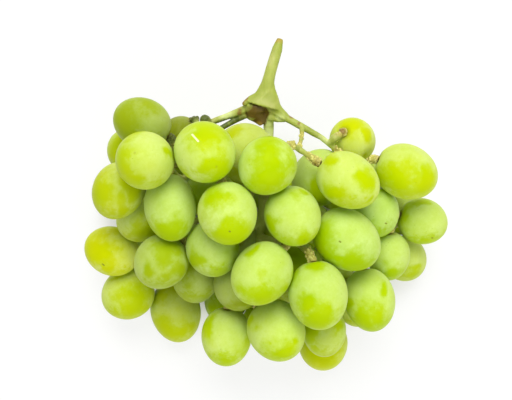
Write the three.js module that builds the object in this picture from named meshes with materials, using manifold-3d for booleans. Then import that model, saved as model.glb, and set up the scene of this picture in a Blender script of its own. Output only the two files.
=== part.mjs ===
// A bunch of white table grapes, picked and laid on its back on a table.
// Millimetres, +Z up. The cut stalk points along +Y and the two shoulders spread along X.
// One node is the whole green stalk, and each berry is a node of its own.

import * as THREE from "three";
import { mergeVertices } from "three/addons/utils/BufferGeometryUtils.js";
import Module from "manifold-3d";

// ---------------------------------------------------------------- driving dimensions

const BERRY_WIDTH = 22.5; // a berry that states no size of its own
const BERRY_LENGTH = 25.5;
const BERRY_TAPER = 0.04; // how much narrower the tip half is than the stalk half
const BERRY_FACETS = 2; // how often each edge of the icosahedron behind a berry is split
const CLEARANCE = 0.3; // between a berry and anything it touches

const BRANCH_SIDES = 8;
const PEDICEL_SIDES = 5;
const PEDICEL_RADIUS = 1.0; // the little stalk of one berry, at its thinnest
const PEDICEL_ROOT = 1.35; // its radius where it leaves its branch
const PEDICEL_START = 0.35; // the share of its length that heads straight for the berry
const PEDICEL_END = 0.45; // the share that runs in line with the berry
const COLLAR_RADIUS = 1.8; // the disc that seats in the berry
const COLLAR_DEPTH = 1.2; // how far that disc reaches into the dimple of the berry
const BELL_POINT = 0.1; // the narrow end of the hollow in a bell
const BELL_MOUTH = 0.5; // how far that hollow runs out past the rim
const SMALLEST_DETAIL = 0.12; // flat spots of the stalk finer than this are merged
const WELD = 1e-3; // points closer than this are one point

const SETTLE_ROUNDS = 400;
const SIDEWAYS = 0.35; // a berry gives way more easily up and down than sideways
const HOMING = 0.02; // how strongly a berry returns to its chosen place in each round
const TRAIL_STEP = 2; // between the points of a branch that berries keep clear of
const PEDICEL_STEPS = 5; // as many pieces of a pedicel that berries keep clear of

const GRAPE_GREEN = 0xb4d334;
const GRAPE_ROUGHNESS = 0.35;
const STALK_GREEN = 0x9fb255;
const STALK_ROUGHNESS = 0.6;

// ---------------------------------------------------------------- branches

// Each branch: the points of its middle line, and its radius at even steps along it.
// The first one is the cut stalk, and the main axis carries on from it through the bunch.
const BRANCHES = {
  peduncle: {
    path: [
      [10.3, 68.7, 54], [8.8, 63.5, 54], [6.1, 54.5, 53], [5, 50, 52], [4.2, 45.5, 51], [4, 41, 50],
    ],
    radii: [1.15, 2.05, 2.2, 2.25, 2.35, 2.7, 3, 2.6],
    sides: 12,
    flatness: 0.85,
  },
  bell: {
    path: [[5.4, 51.9, 52.5], [4.75, 47.8, 52], [4.3, 44, 51.5], [3.4, 40.6, 51.2]],
    radii: [2.15, 2.75, 3.45, 4.3, 5.4, 6.8, 8.4],
    sides: 16,
    flatness: 0.4,
    wall: 2,
  },
  bell_ridge: {
    path: [[5.4, 46.5, 52.9], [2.8, 43.6, 53.1], [0, 41.4, 53.3]],
    radii: [1, 0.9, 0.8],
  },
  rolled_edge: {
    path: [[-0.2, 45.2, 51.6], [-2.5, 43.6, 51.7], [-4.2, 42.1, 51.6], [-5.5, 40.9, 51.4]],
    radii: [0.7, 0.95, 1, 0.8],
  },
  heel: {
    path: [[0, 42, 50], [-0.3, 37.7, 48], [1.5, 35.5, 47.3], [2.8, 33, 47]],
    radii: [4.4, 4.9, 4.2, 2.8, 1.4],
    flatness: 0.6,
  },
  right_flank: {
    path: [[7.5, 42, 51], [9.8, 38.8, 51.3], [12.7, 35.8, 51.8]],
    radii: [1.8, 1.6, 1.4],
  },
  right_web: {
    path: [[5.6, 36.2, 48], [9, 35.3, 49], [12.8, 34.9, 50.5]],
    radii: [1.8, 1.5, 1.2],
  },
  main_axis: {
    path: [
      [4.4, 46, 51], [5.6, 36, 46], [5.3, 26, 42], [4, 14, 40],
      [3, 0, 39], [2, -14, 37], [0, -27, 34], [-3, -38, 32],
    ],
    radii: [2.6, 2.3, 2.1, 2, 2, 1.9, 1.8, 1.7, 1.6, 1.5, 1.3],
  },
  left_shoulder: {
    path: [
      [1, 41.2, 49.5], [-4, 39.6, 48.5], [-9, 37.5, 47], [-19, 34.2, 46],
      [-26, 30, 46], [-33, 21, 49], [-42, 15.5, 52],
    ],
    radii: [2.2, 1.6, 1.3, 1.2, 1.2, 1.3, 1.4, 1.3],
  },
  left_stub: {
    path: [[-21, 33.8, 46], [-22, 34.6, 47.6], [-22.6, 35.7, 49.4]],
    radii: [1.6, 2.3, 2.2, 1.3],
  },
  left_back: {
    path: [[-40, 16.5, 51], [-46, 15, 41], [-43, 13, 28]],
    radii: [1.3, 1.2, 1.1],
  },
  left_inner: {
    path: [
      [-1, 38.6, 48], [-5.3, 35.8, 46], [-10.4, 34.5, 46], [-15.6, 31.2, 47],
      [-22, 21, 53], [-28, 12, 54], [-37, 4, 50],
    ],
    radii: [1.6, 1.2, 1.05, 1.1, 1.2, 1.2, 1.1],
  },
  right_shoulder: {
    path: [
      [5.5, 40, 49], [9.3, 36.7, 51], [13.9, 34.9, 52], [18.6, 32, 53], [23, 29.5, 53.6],
      [26.8, 27.4, 54], [29.6, 25.4, 54], [33, 22.4, 53], [42, 17, 50], [50, 13, 45],
      [56, 7, 40], [62, -3, 34], [62, -13, 27],
    ],
    radii: [1.9, 1.5, 1.35, 1.05, 1.05, 1.15, 1.05, 1.05, 1.1, 1.2, 1.1],
  },
  right_twig: {
    path: [[19.7, 31.2, 53], [19.6, 28.5, 56], [18.9, 25.2, 60], [17.6, 21.2, 66]],
    radii: [1.1, 0.7, 0.7, 0.8],
  },
  right_spur: {
    path: [[31.2, 24.3, 54], [33.6, 26.4, 55], [35.4, 27.7, 54.2]],
    radii: [1.1, 1.6, 1.6],
  },
  right_back: {
    path: [[49, 13, 47], [47, 6, 38], [48, 3, 28]],
    radii: [1.3, 1.2, 1.1],
  },
  front_twig: {
    path: [[4, 11, 40], [-1, 6, 49], [-7, 5, 60]],
    radii: [1.4, 1.2, 1.1],
  },
  middle_twig: {
    path: [[3, 2, 39], [5, 1, 46], [8, 2, 54]],
    radii: [1.4, 1.2, 1.1],
  },
  lower_twig: {
    path: [[1, -16, 37], [8, -18, 46], [15, -17, 57]],
    radii: [1.5, 1.3, 1.1],
  },
  left_middle: {
    path: [[3, 8, 39], [-6, 0, 33], [-16, -6, 29], [-28, -9.5, 30], [-43, -13, 33]],
    radii: [1.6, 1.4, 1.3, 1.3, 1.2, 1.1],
  },
  left_lower: {
    path: [[2, -10, 38], [-10, -16, 38], [-22, -20, 42], [-34, -24, 39], [-46, -33, 28]],
    radii: [1.6, 1.4, 1.3, 1.3, 1.2, 1.1],
  },
  right_middle: {
    path: [[3, 4, 39], [12, 2, 43], [22, -4, 51], [34, -9, 48], [44, -17, 40]],
    radii: [1.6, 1.4, 1.3, 1.3, 1.2, 1.1],
  },
  right_under: {
    path: [[20, -3, 50], [24, -6, 39], [27, -6, 28]],
    radii: [1.3, 1.2, 1.1],
  },
  right_lower: {
    path: [[1, -20, 36], [7, -23, 31], [15, -27, 27], [25, -33, 27], [34, -41, 30]],
    radii: [1.6, 1.4, 1.3, 1.3, 1.2, 1.1],
  },
};

// ---------------------------------------------------------------- berries

// Each berry: where its middle is, then its width and length, then which way its tip points:
// a compass heading in degrees from +X towards +Y, and a rise above the table.
// A berry with only a place has the usual size and points away from its branch.
const BERRIES = {
  left_shoulder: [
    [-47.8, 32.2, 60, 21.7, 25.2, 155, 5],
    [-43.6, 15.2, 80, 23.2, 25.8, 135, 75],
    [-56.2, 21.6, 38, 19.5, 21.5, 130, -30],
    [-57.7, 3.9, 61, 21.7, 24.8, 245, 10],
    [-34, 27, 32, 19.5, 22, 235, -20],
  ],
  left_back: [
    [-52, 23, 10],
    [-29, 22, 10],
    [-62.3, 2, 10],
    [-41, 0, 10],
  ],
  left_inner: [
    [-20.1, 18.1, 81, 24.1, 27.7, 310, 55],
    [-33.8, -4.2, 67, 21.5, 28.4, 277, 5],
    [-50.9, -8.5, 44, 20, 22, 200, -40],
    [-22, 3, 46, 20, 22, 300, 0],
  ],
  right_shoulder: [
    [63.8, 11.8, 55, 23.3, 27.5, 336, 0],
    [52, -5, 46, 21, 23, 285, -20],
    [73.1, -9.3, 32, 20.8, 22.7, 345, -5],
    [59, -25, 36, 19.2, 22.5, 270, -15],
    [69.5, -27.5, 14, 21, 24, 315, -50],
    [27.5, 9.5, 48, 24, 26, 230, -20],
    [56, 9, 26, 20, 22],
    [66, -7, 10, 20, 22],
  ],
  right_back: [
    [37.5, 4.5, 10],
    [50, -13.5, 10, 21, 23],
  ],
  right_spur: [
    [42.5, 26, 42, 20, 22.5, 327, -58],
  ],
  right_twig: [
    [4.5, 13.2, 79, 23, 24.4, 225, 20],
    [37.5, 8, 72, 22.4, 27.3, 328, 3],
  ],
  front_twig: [
    [-11.2, -5.2, 81, 23.8, 25.6, 285, 15],
  ],
  middle_twig: [
    [14.8, -6.2, 73, 23, 26.4, 295, 38],
  ],
  lower_twig: [
    [2, -29.7, 71, 24, 28, 229, 20],
    [25.2, -38.6, 68, 24.6, 28.7, 278, 5],
  ],
  main_axis: [
    [-4.6, 19.9, 59, 25.4, 26, 150, 45],
    [-8.5, -36.5, 48, 22.5, 25, 260, 50],
    [8, -54.7, 53, 24.6, 27.7, 300, 30],
    [-13, -60.3, 40, 22.3, 26.6, 268, -10],
    [-14, -47.5, 12, 20.5, 23, 260, -20],
    [12, -13, 30, 20, 22, 20, 40],
    [-7, 22, 10],
    [9, 4, 10],
    [3.5, -57.5, 15, 20, 22],
    [-9, 13, 34, 20, 22],
  ],
  left_middle: [
    [-18, 2, 10],
  ],
  left_lower: [
    [-40.1, -26.1, 57.5, 22.8, 24, 225, 20],
    [-17.6, -20.8, 61, 22.5, 26, 285, 50],
    [-27, -34.5, 36, 21, 23.5, 270, -20],
    [-58.7, -43.3, 22, 23.6, 25, 210, -10],
    [-64.7, -22.8, 33, 22.1, 25.5, 160, -10],
    [-38, -52.3, 13, 23.6, 29.6, 282, -5],
    [-54, -20, 10],
    [-31, -22, 10],
    [-8, -20, 10],
  ],
  right_middle: [
    [37.9, -16.9, 62, 25, 30, 325, 5],
    [49.4, -43.2, 46, 22.4, 28.1, 281, 0],
  ],
  right_under: [
    [24.5, -12, 10],
  ],
  right_lower: [
    [46.6, -47.2, 12, 20.5, 22.5, 280, -30],
    [30, -57.5, 42, 19.3, 22.8, 271, 0],
    [31.5, -67.6, 13, 23.2, 26, 269, -20],
    [18.5, -28, 41, 20, 22, 60, 50],
    [12, -38, 10],
    [36.5, -30, 12, 21, 23],
  ],
};

const vector = ([x, y, z]) => new THREE.Vector3(x, y, z);

function direction(heading, rise) {
  const [turn, lift] = [heading, rise].map(THREE.MathUtils.degToRad);
  return new THREE.Vector3(
    Math.cos(lift) * Math.cos(turn),
    Math.cos(lift) * Math.sin(turn),
    Math.sin(lift),
  );
}

// The branches as curves, each with the points along it that berries must keep clear of.
const branches = Object.fromEntries(
  Object.entries(BRANCHES).map(([name, branch]) => {
    const curve = new THREE.CatmullRomCurve3(branch.path.map(vector));
    const steps = Math.round(curve.getLength() / TRAIL_STEP);
    const { radii, flatness = 1 } = branch;
    const trail = curve.getSpacedPoints(steps).map((point, i) => ({
      point,
      radius: radii[Math.round((i / steps) * (radii.length - 1))] * flatness,
    }));
    return [name, { ...branch, curve, trail }];
  }),
);

function nearestOn(trail, place) {
  return trail.reduce((best, step) =>
    step.point.distanceToSquared(place) < best.point.distanceToSquared(place) ? step : best,
  ).point;
}

function makeBerry(branch, [x, y, z, width = BERRY_WIDTH, length = BERRY_LENGTH, heading, rise]) {
  const place = new THREE.Vector3(x, y, z);
  const { trail } = branches[branch];
  const axis =
    heading === undefined
      ? place.clone().sub(nearestOn(trail, place)).normalize()
      : direction(heading, rise);
  return { branch, place, home: place.clone(), width, length, axis, pedicel: [] };
}

const berries = Object.entries(BERRIES).flatMap(([branch, rows]) =>
  rows.map((row) => makeBerry(branch, row)),
);

// The pedicel leaves the nearest point of its branch and bends to meet the berry end on.
function pedicelCurve(berry) {
  const seat = berry.place.clone().addScaledVector(berry.axis, COLLAR_DEPTH - berry.length / 2);
  const root = nearestOn(branches[berry.branch].trail, seat);
  const span = root.distanceTo(seat);
  return new THREE.CubicBezierCurve3(
    root,
    root.clone().lerp(seat, PEDICEL_START),
    seat.clone().addScaledVector(berry.axis, -PEDICEL_END * span),
    seat,
  );
}

// ---------------------------------------------------------------- settling

// How far a berry reaches from its middle in a direction.
function reach(berry, way) {
  const along = berry.axis.dot(way);
  const across = Math.sqrt(Math.max(0, 1 - along * along));
  return Math.hypot((berry.length / 2) * along, (berry.width / 2) * across);
}

function nudge(berry, way, distance) {
  berry.place.x += way.x * distance * SIDEWAYS;
  berry.place.y += way.y * distance * SIDEWAYS;
  berry.place.z += way.z * distance;
}

function partPair(one, other) {
  const way = one.place.clone().sub(other.place).normalize();
  const gap = one.place.distanceTo(other.place) - reach(one, way) - reach(other, way);
  if (gap >= CLEARANCE) return;
  nudge(one, way, (CLEARANCE - gap) / 2);
  nudge(other, way, (gap - CLEARANCE) / 2);
}

function keepOff(berry, { point, radius }) {
  const way = berry.place.clone().sub(point).normalize();
  const gap = berry.place.distanceTo(point) - reach(berry, way) - radius;
  if (gap < CLEARANCE) nudge(berry, way, (CLEARANCE - gap) / 2);
}

// Berries press each other, the branches and the table until nothing overlaps.
function settle() {
  const down = new THREE.Vector3(0, 0, -1);
  const wood = Object.values(branches).flatMap((branch) => branch.trail);
  for (let round = 0; round < SETTLE_ROUNDS; round++) {
    for (const berry of berries) {
      berry.place.lerp(berry.home, HOMING * (1 - round / SETTLE_ROUNDS));
      berry.pedicel = pedicelCurve(berry)
        .getPoints(PEDICEL_STEPS)
        .map((point) => ({ point, radius: PEDICEL_RADIUS }));
    }
    berries.forEach((one, i) => berries.slice(i + 1).forEach((other) => partPair(one, other)));
    for (const berry of berries) {
      wood.forEach((step) => keepOff(berry, step));
      for (const other of berries)
        if (other !== berry) other.pedicel.forEach((step) => keepOff(berry, step));
      berry.place.z = Math.max(berry.place.z, reach(berry, down));
    }
  }
}

settle();

// ---------------------------------------------------------------- solids

const wasm = await Module();
wasm.setup();

// A closed three.js geometry as a solid that can be joined and cut.
function solid(geometry) {
  const bare = geometry.clone();
  bare.deleteAttribute("normal");
  bare.deleteAttribute("uv");
  const merged = mergeVertices(bare, WELD);
  return new wasm.Manifold(
    new wasm.Mesh({
      numProp: 3,
      vertProperties: new Float32Array(merged.attributes.position.array),
      triVerts: new Uint32Array(merged.index.array),
    }),
  );
}

function geometryOf(body) {
  const { vertProperties, triVerts } = body.getMesh();
  return new THREE.BufferGeometry()
    .setAttribute("position", new THREE.BufferAttribute(vertProperties, 3))
    .setIndex(new THREE.BufferAttribute(triVerts, 1));
}

// A rod with closed ends, turned from its radii and then bent along a curve.
function limb(curve, radii, sides = BRANCH_SIDES, flatness = 1) {
  const last = radii.length - 1;
  const profile = [
    new THREE.Vector2(0, 0),
    ...radii.map((radius, i) => new THREE.Vector2(radius, i)),
    new THREE.Vector2(0, last),
  ];
  const rod = new THREE.LatheGeometry(profile, sides);
  const { normals, binormals } = curve.computeFrenetFrames(last);
  const spot = rod.attributes.position;
  const bent = new THREE.Vector3();
  for (let i = 0; i < spot.count; i++) {
    const ring = Math.round(spot.getY(i));
    bent
      .set(0, 0, 0)
      .addScaledVector(binormals[ring], spot.getX(i))
      .addScaledVector(normals[ring], spot.getZ(i));
    bent.z *= flatness;
    bent.add(curve.getPointAt(ring / last));
    spot.setXYZ(i, bent.x, bent.y, bent.z);
  }
  return solid(rod);
}

// A branch with a wall is a bell: a thinner limb, a little further along, is taken out of it.
function branchSolid({ curve, radii, sides, flatness, wall }) {
  const whole = limb(curve, radii, sides, flatness);
  if (!wall) return whole;
  const out = curve.getTangent(1).multiplyScalar(BELL_MOUTH);
  const further = curve.points.map((point) => point.clone().add(out));
  const hollow = radii.map((radius) => Math.max(radius - wall, BELL_POINT));
  return whole.subtract(limb(new THREE.CatmullRomCurve3(further), hollow, sides, flatness));
}

// One berry, lying along +Z: an egg with its narrow end at the tip.
function berryGeometry() {
  const egg = new THREE.IcosahedronGeometry(1, BERRY_FACETS);
  const spot = egg.attributes.position;
  for (let i = 0; i < spot.count; i++) {
    const girth = 1 - BERRY_TAPER * spot.getZ(i);
    spot.setXYZ(i, spot.getX(i) * girth, spot.getY(i) * girth, spot.getZ(i));
  }
  return egg;
}

const berryShape = berryGeometry();
const berrySkin = new THREE.MeshStandardMaterial({
  color: GRAPE_GREEN,
  roughness: GRAPE_ROUGHNESS,
});

function berryMesh(berry, index) {
  const mesh = new THREE.Mesh(berryShape, berrySkin.clone());
  mesh.name = "grape_" + String(index + 1).padStart(2, "0");
  mesh.position.copy(berry.place);
  mesh.quaternion.setFromUnitVectors(new THREE.Vector3(0, 0, 1), berry.axis);
  mesh.scale.set(berry.width / 2, berry.width / 2, berry.length / 2);
  return mesh;
}

// The room that a berry needs: its own shape, grown by the clearance.
function berryRoom(mesh) {
  const grown = mesh.clone();
  grown.scale.addScalar(CLEARANCE);
  grown.updateMatrix();
  return solid(berryShape.clone().applyMatrix4(grown.matrix));
}

const meshes = berries.map(berryMesh);

// The whole stalk: branches and pedicels grown together, with each berry's seat left free.
function stalkMesh() {
  const wood = Object.values(branches).map(branchSolid);
  const pedicelRadii = [PEDICEL_ROOT, PEDICEL_RADIUS, COLLAR_RADIUS, COLLAR_RADIUS];
  const pedicels = berries.map((berry) =>
    limb(pedicelCurve(berry), pedicelRadii, PEDICEL_SIDES),
  );
  const grown = wasm.Manifold.union([...wood, ...pedicels]);
  const rooms = wasm.Manifold.union(meshes.map(berryRoom));
  const mesh = new THREE.Mesh(
    geometryOf(grown.subtract(rooms).simplify(SMALLEST_DETAIL)),
    new THREE.MeshStandardMaterial({ color: STALK_GREEN, roughness: STALK_ROUGHNESS }),
  );
  mesh.name = "stem";
  return mesh;
}

const bunch = new THREE.Group();
bunch.name = "bunch_of_grapes";
bunch.add(stalkMesh(), ...meshes);

// The origin is under the middle of the bunch, on the table.
const box = new THREE.Box3().setFromObject(bunch, true);
const middle = box.getCenter(new THREE.Vector3());
bunch.position.set(-middle.x, -middle.y, -box.min.z);

export default bunch;
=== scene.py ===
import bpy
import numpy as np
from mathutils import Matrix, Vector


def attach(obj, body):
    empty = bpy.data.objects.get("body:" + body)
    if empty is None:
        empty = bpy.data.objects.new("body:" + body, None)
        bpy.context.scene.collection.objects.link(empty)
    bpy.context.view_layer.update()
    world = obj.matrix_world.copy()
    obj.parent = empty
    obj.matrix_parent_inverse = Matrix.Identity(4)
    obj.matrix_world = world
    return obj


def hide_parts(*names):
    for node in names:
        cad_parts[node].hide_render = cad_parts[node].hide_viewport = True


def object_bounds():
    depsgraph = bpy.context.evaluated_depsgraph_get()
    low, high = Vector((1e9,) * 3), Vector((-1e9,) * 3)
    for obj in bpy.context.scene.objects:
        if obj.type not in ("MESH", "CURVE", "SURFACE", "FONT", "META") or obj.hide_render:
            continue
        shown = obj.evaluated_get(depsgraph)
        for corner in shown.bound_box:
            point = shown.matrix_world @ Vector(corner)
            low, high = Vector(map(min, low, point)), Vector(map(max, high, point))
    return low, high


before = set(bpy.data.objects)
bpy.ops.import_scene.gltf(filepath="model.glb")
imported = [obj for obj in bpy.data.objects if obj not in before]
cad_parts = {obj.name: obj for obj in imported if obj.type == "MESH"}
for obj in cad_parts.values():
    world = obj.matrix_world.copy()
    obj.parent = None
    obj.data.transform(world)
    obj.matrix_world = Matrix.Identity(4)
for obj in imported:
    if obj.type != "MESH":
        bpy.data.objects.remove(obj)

# %% [markdown]
# # A bunch of green table grapes
#
# A real bunch is one branching green stalk, called the rachis, with a little stalk, the
# pedicel, for each berry. This one lies on a table with its cut end pointing along +Y.
# The solid model knows where every berry and branch is. This lesson reads those places
# back and grows the real surfaces over them: smooth waxy berries, rough knotty stalks.

MM = 0.001
cad_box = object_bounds()
grape_names = sorted(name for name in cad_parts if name.startswith("grape_"))
print(f"{len(grape_names)} berries and one stalk, in a box from {cad_box[0]} to {cad_box[1]}")

# %% [markdown]
# ## Camera
#
# The bunch is looked at from straight above, as it lies. A lens close to a portrait lens,
# hung 45 cm over the table, keeps the berries near the camera a little larger than the
# ones below, which is what gives the heap its depth.

# %% Camera over the table
scene = bpy.context.scene
EYE = Vector((-4.5, 5.7, 450)) * MM
FIELD_WIDTH = 215 * MM  # what the camera takes in, across, at a distance of 390 mm
FIELD_DISTANCE = 390 * MM

lens = bpy.data.cameras.new("camera")
lens.sensor_width = 36
lens.lens = lens.sensor_width * FIELD_DISTANCE / FIELD_WIDTH
lens.clip_start = 0.01
camera = bpy.data.objects.new("camera", lens)
camera.location = EYE
scene.collection.objects.link(camera)
scene.camera = camera
print(f"lens {lens.lens:.1f} mm")

# %% [markdown]
# ## Light
#
# Grapes look freshest in broad, soft light: a small lamp would put a hard white dot on
# every berry. One very large lamp hangs behind the cut end of the stalk and a weaker one
# faces it, and a pale world fills the hollows between the berries.

# %% Lamps and world
MID_HEIGHT = 40 * MM  # half-way up the heap, where the lamps point


def area_lamp(name, place, size, power):
    lamp = bpy.data.lights.new(name, "AREA")
    lamp.shape = "DISK"
    lamp.size = size
    lamp.energy = power
    obj = bpy.data.objects.new(name, lamp)
    obj.location = place
    aim = Vector((0, 0, MID_HEIGHT)) - obj.location
    obj.rotation_euler = aim.to_track_quat("-Z", "Y").to_euler()
    scene.collection.objects.link(obj)
    return obj


area_lamp("main_softbox", (0.0, 0.65, 1.05), 0.8, 12.0)
area_lamp("fill_softbox", (0.35, -0.75, 0.9), 0.9, 5.5)

world = bpy.data.worlds.new("studio")
world.use_nodes = True
world.node_tree.nodes["Background"].inputs["Color"].default_value = (1, 1, 1, 1)
world.node_tree.nodes["Background"].inputs["Strength"].default_value = 0.52
scene.world = world
scene.view_settings.view_transform = "Standard"

# %% [markdown]
# ## Small tools for node trees
#
# Colours are written as the hex values a paint chart gives, and turned to linear light by
# one function. Every node, in a material or in a shape, is added by another: it sets the
# node's own settings, then fills each input with a value or with another node's output.
# Every tree that grows a shape opens with its named inputs, and closes in the same way:
# the shape is shaded smooth, made real and given its material.

# %% Colour and node helpers
def colour(hex_value):
    parts = [((hex_value >> shift) & 255) / 255 for shift in (16, 8, 0)]
    linear = [c / 12.92 if c <= 0.04045 else ((c + 0.055) / 1.055) ** 2.4 for c in parts]
    return (*linear, 1.0)


def add(tree, kind, inputs=None, **settings):
    node = tree.nodes.new(kind)
    for name, value in settings.items():
        setattr(node, name, value)
    for socket, value in (inputs or {}).items():
        if isinstance(value, bpy.types.Node):
            value = value.outputs[0]
        if isinstance(value, bpy.types.NodeSocket):
            tree.links.new(value, node.inputs[socket])
        else:
            node.inputs[socket].default_value = value
    return node


def maths(tree, operation, *values):
    return add(tree, "ShaderNodeMath", dict(enumerate(values)), operation=operation)


def open_tree(name, **kinds):
    """An empty tree with a named input of each kind, and what its inputs are given."""
    tree = bpy.data.node_groups.new(name, "GeometryNodeTree")
    for socket, kind in kinds.items():
        tree.interface.new_socket(socket, in_out="INPUT", socket_type="NodeSocket" + kind)
    tree.interface.new_socket("Geometry", in_out="OUTPUT", socket_type="NodeSocketGeometry")
    return tree, add(tree, "NodeGroupInput").outputs


def close_tree(tree, geometry, material):
    smooth = add(tree, "GeometryNodeSetShadeSmooth", {"Geometry": geometry})
    real = add(tree, "GeometryNodeRealizeInstances", {"Geometry": smooth})
    dressed = add(tree, "GeometryNodeSetMaterial", {"Geometry": real, "Material": material})
    add(tree, "NodeGroupOutput", {"Geometry": dressed})
    return tree


print("white in linear light:", colour(0xFFFFFF))

# %% [markdown]
# ## Where each berry is
#
# Each berry's solid is a faceted egg. The middle of its corners is the middle of the
# berry, and how far the corners spread gives its length, width and direction. The egg is
# a little thinner at its tip, which tells the tip from the stalk end.

# %% Reading the berries back
def vertex_array(mesh):
    values = np.empty(len(mesh.vertices) * 3, np.float32)
    mesh.vertices.foreach_get("co", values)
    return values.reshape(-1, 3).astype(float)


def read_berry(node):
    points = np.unique(np.round(vertex_array(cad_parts[node].data), 5), axis=0)
    middle = points.mean(axis=0)
    offsets = points - middle
    spread, ways = np.linalg.eigh(offsets.T @ offsets / len(points))
    axis = ways[:, 2]
    along = offsets @ axis
    girth = np.linalg.norm(offsets - np.outer(along, axis), axis=1)
    if (along * girth**2).sum() > 0:
        axis = -axis
    width, length = np.sqrt(3 * spread[1]) * 2, np.sqrt(3 * spread[2]) * 2
    return {"node": node, "middle": middle, "axis": axis, "width": width, "length": length}


berries = [read_berry(name) for name in grape_names]
widths = [berry["width"] / MM for berry in berries]
lengths = [berry["length"] / MM for berry in berries]
print(f"widths {min(widths):.1f} to {max(widths):.1f} mm")
print(f"lengths {min(lengths):.1f} to {max(lengths):.1f} mm")

# %% [markdown]
# ## The shape of a berry
#
# A berry is an egg with two marks: the dimple that its stalk sits in, and at the other
# end the stylar scar, a tiny corky dot where the flower was. It could be sculpted once
# and copied, but then every berry would be the same egg stretched. A Geometry Nodes tree
# with named inputs makes each one from its own length, width and seed, so the dimple
# stays the right size and the slight unevenness of the skin differs from berry to berry.

# %% The berry tree
EGG = 0.04  # how much thinner the tip is
UNEVEN = 0.01  # how far the skin wanders inside a true egg, as a share of its radius
DIMPLE_DEPTH, DIMPLE_RADIUS = 1.0, 2.6  # in mm, as all sizes inside the tree
SCAR_DEPTH, SCAR_RADIUS = 0.15, 0.8


def make_berry_tree():
    tree, given = open_tree(
        "berry_shape", Length="Float", Width="Float", Seed="Float",
        Middle="Vector", Axis="Vector", Skin="Material",
    )
    ball = add(tree, "GeometryNodeMeshUVSphere", {"Segments": 64, "Rings": 48, "Radius": 1.0})
    place = add(tree, "GeometryNodeInputPosition")
    xyz = add(tree, "ShaderNodeSeparateXYZ", {0: place}).outputs

    # The egg, with its unevenness, in millimetres.
    bumps = add(
        tree, "ShaderNodeTexNoise",
        {"Vector": place, "W": given["Seed"], "Scale": 0.9, "Detail": 1.0},
        noise_dimensions="4D",
    )
    wander = maths(tree, "MULTIPLY_ADD", bumps, 2 * UNEVEN, 1 - 1.5 * UNEVEN)
    taper = maths(tree, "MULTIPLY_ADD", xyz["Z"], -EGG, 1.0)
    half_width = maths(tree, "MULTIPLY", given["Width"], 0.5)
    half_length = maths(tree, "MULTIPLY", given["Length"], 0.5)
    girth = maths(tree, "MULTIPLY", maths(tree, "MULTIPLY", half_width, taper), wander)
    x = maths(tree, "MULTIPLY", xyz["X"], girth)
    y = maths(tree, "MULTIPLY", xyz["Y"], girth)
    z = maths(tree, "MULTIPLY", maths(tree, "MULTIPLY", xyz["Z"], half_length), wander)

    # Both marks are bell-shaped hollows around the axis.
    off_axis = maths(tree, "ADD", maths(tree, "MULTIPLY", x, x), maths(tree, "MULTIPLY", y, y))

    def bell(radius, depth, at_end):
        shape = maths(tree, "EXPONENT", maths(tree, "MULTIPLY", off_axis, -1 / radius**2))
        return maths(tree, "MULTIPLY", maths(tree, "MULTIPLY", shape, depth), at_end)

    at_stalk = maths(tree, "LESS_THAN", xyz["Z"], 0.0)
    at_tip = maths(tree, "GREATER_THAN", xyz["Z"], 0.0)
    hollowed = maths(tree, "ADD", z, bell(DIMPLE_RADIUS, DIMPLE_DEPTH, at_stalk))
    hollowed = maths(tree, "SUBTRACT", hollowed, bell(SCAR_RADIUS, SCAR_DEPTH, at_tip))
    spot = add(tree, "ShaderNodeCombineXYZ", {"X": x, "Y": y, "Z": hollowed})

    egg = add(tree, "GeometryNodeSetPosition", {"Geometry": ball, "Position": spot})
    own_place = add(tree, "GeometryNodeInputPosition")
    kept = add(
        tree, "GeometryNodeStoreNamedAttribute",
        {"Geometry": egg, "Name": "berry_mm", "Value": own_place},
        data_type="FLOAT_VECTOR", domain="POINT",
    )
    kept = add(
        tree, "GeometryNodeStoreNamedAttribute",
        {"Geometry": kept, "Name": "seed", "Value": given["Seed"]},
        data_type="FLOAT", domain="POINT",
    )
    turn = add(tree, "FunctionNodeAlignRotationToVector", {"Vector": given["Axis"]}, axis="Z")
    set_down = add(
        tree, "GeometryNodeTransform",
        {"Geometry": kept, "Translation": given["Middle"], "Rotation": turn, "Scale": (MM,) * 3},
    )
    return close_tree(tree, set_down, given["Skin"])


berry_tree = make_berry_tree()
print(f"berry tree of {len(berry_tree.nodes)} nodes")

# %% [markdown]
# ## From a tree to a plain mesh
#
# A modifier holds the tree while it works. Its inputs are set before the first look at
# the result, the result is copied out as a plain mesh, and the modifier is dropped.

# %% Growing a piece
def grow(name, tree, mesh=None, **values):
    seedling = bpy.data.objects.new(name, mesh or bpy.data.meshes.new(name))
    scene.collection.objects.link(seedling)
    modifier = seedling.modifiers.new("grow", "NODES")
    modifier.node_group = tree
    for item in tree.interface.items_tree:
        if item.in_out == "INPUT" and item.name in values:
            modifier[item.identifier] = values[item.name]
    depsgraph = bpy.context.evaluated_depsgraph_get()
    grown = bpy.data.meshes.new_from_object(
        seedling.evaluated_get(depsgraph), preserve_all_data_layers=True, depsgraph=depsgraph
    )
    seedling.modifiers.clear()
    seedling.data = grown
    grown.name = name
    return seedling


def stay_inside(mesh):
    """Keeps a piece from bulging out of the solid's box between the facets of the solid."""
    points = vertex_array(mesh)
    held = np.clip(points, np.array(cad_box[0]), np.array(cad_box[1]))
    mesh.vertices.foreach_set("co", held.astype(np.float32).ravel())
    mesh.update()


skin = bpy.data.materials.new("waxy_grape_skin")
for number, berry in enumerate(berries, start=1):
    berry["skin"] = grow(
        "berry_" + berry["node"][-2:], berry_tree,
        Length=berry["length"] / MM, Width=berry["width"] / MM, Seed=number * 7.31,
        Middle=tuple(berry["middle"]), Axis=tuple(berry["axis"]), Skin=skin,
    )
    stay_inside(berry["skin"].data)
    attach(berry["skin"], "root")
    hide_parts(berry["node"])
print(f"{len(berries[0]['skin'].data.polygons)} faces on each berry")

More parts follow.
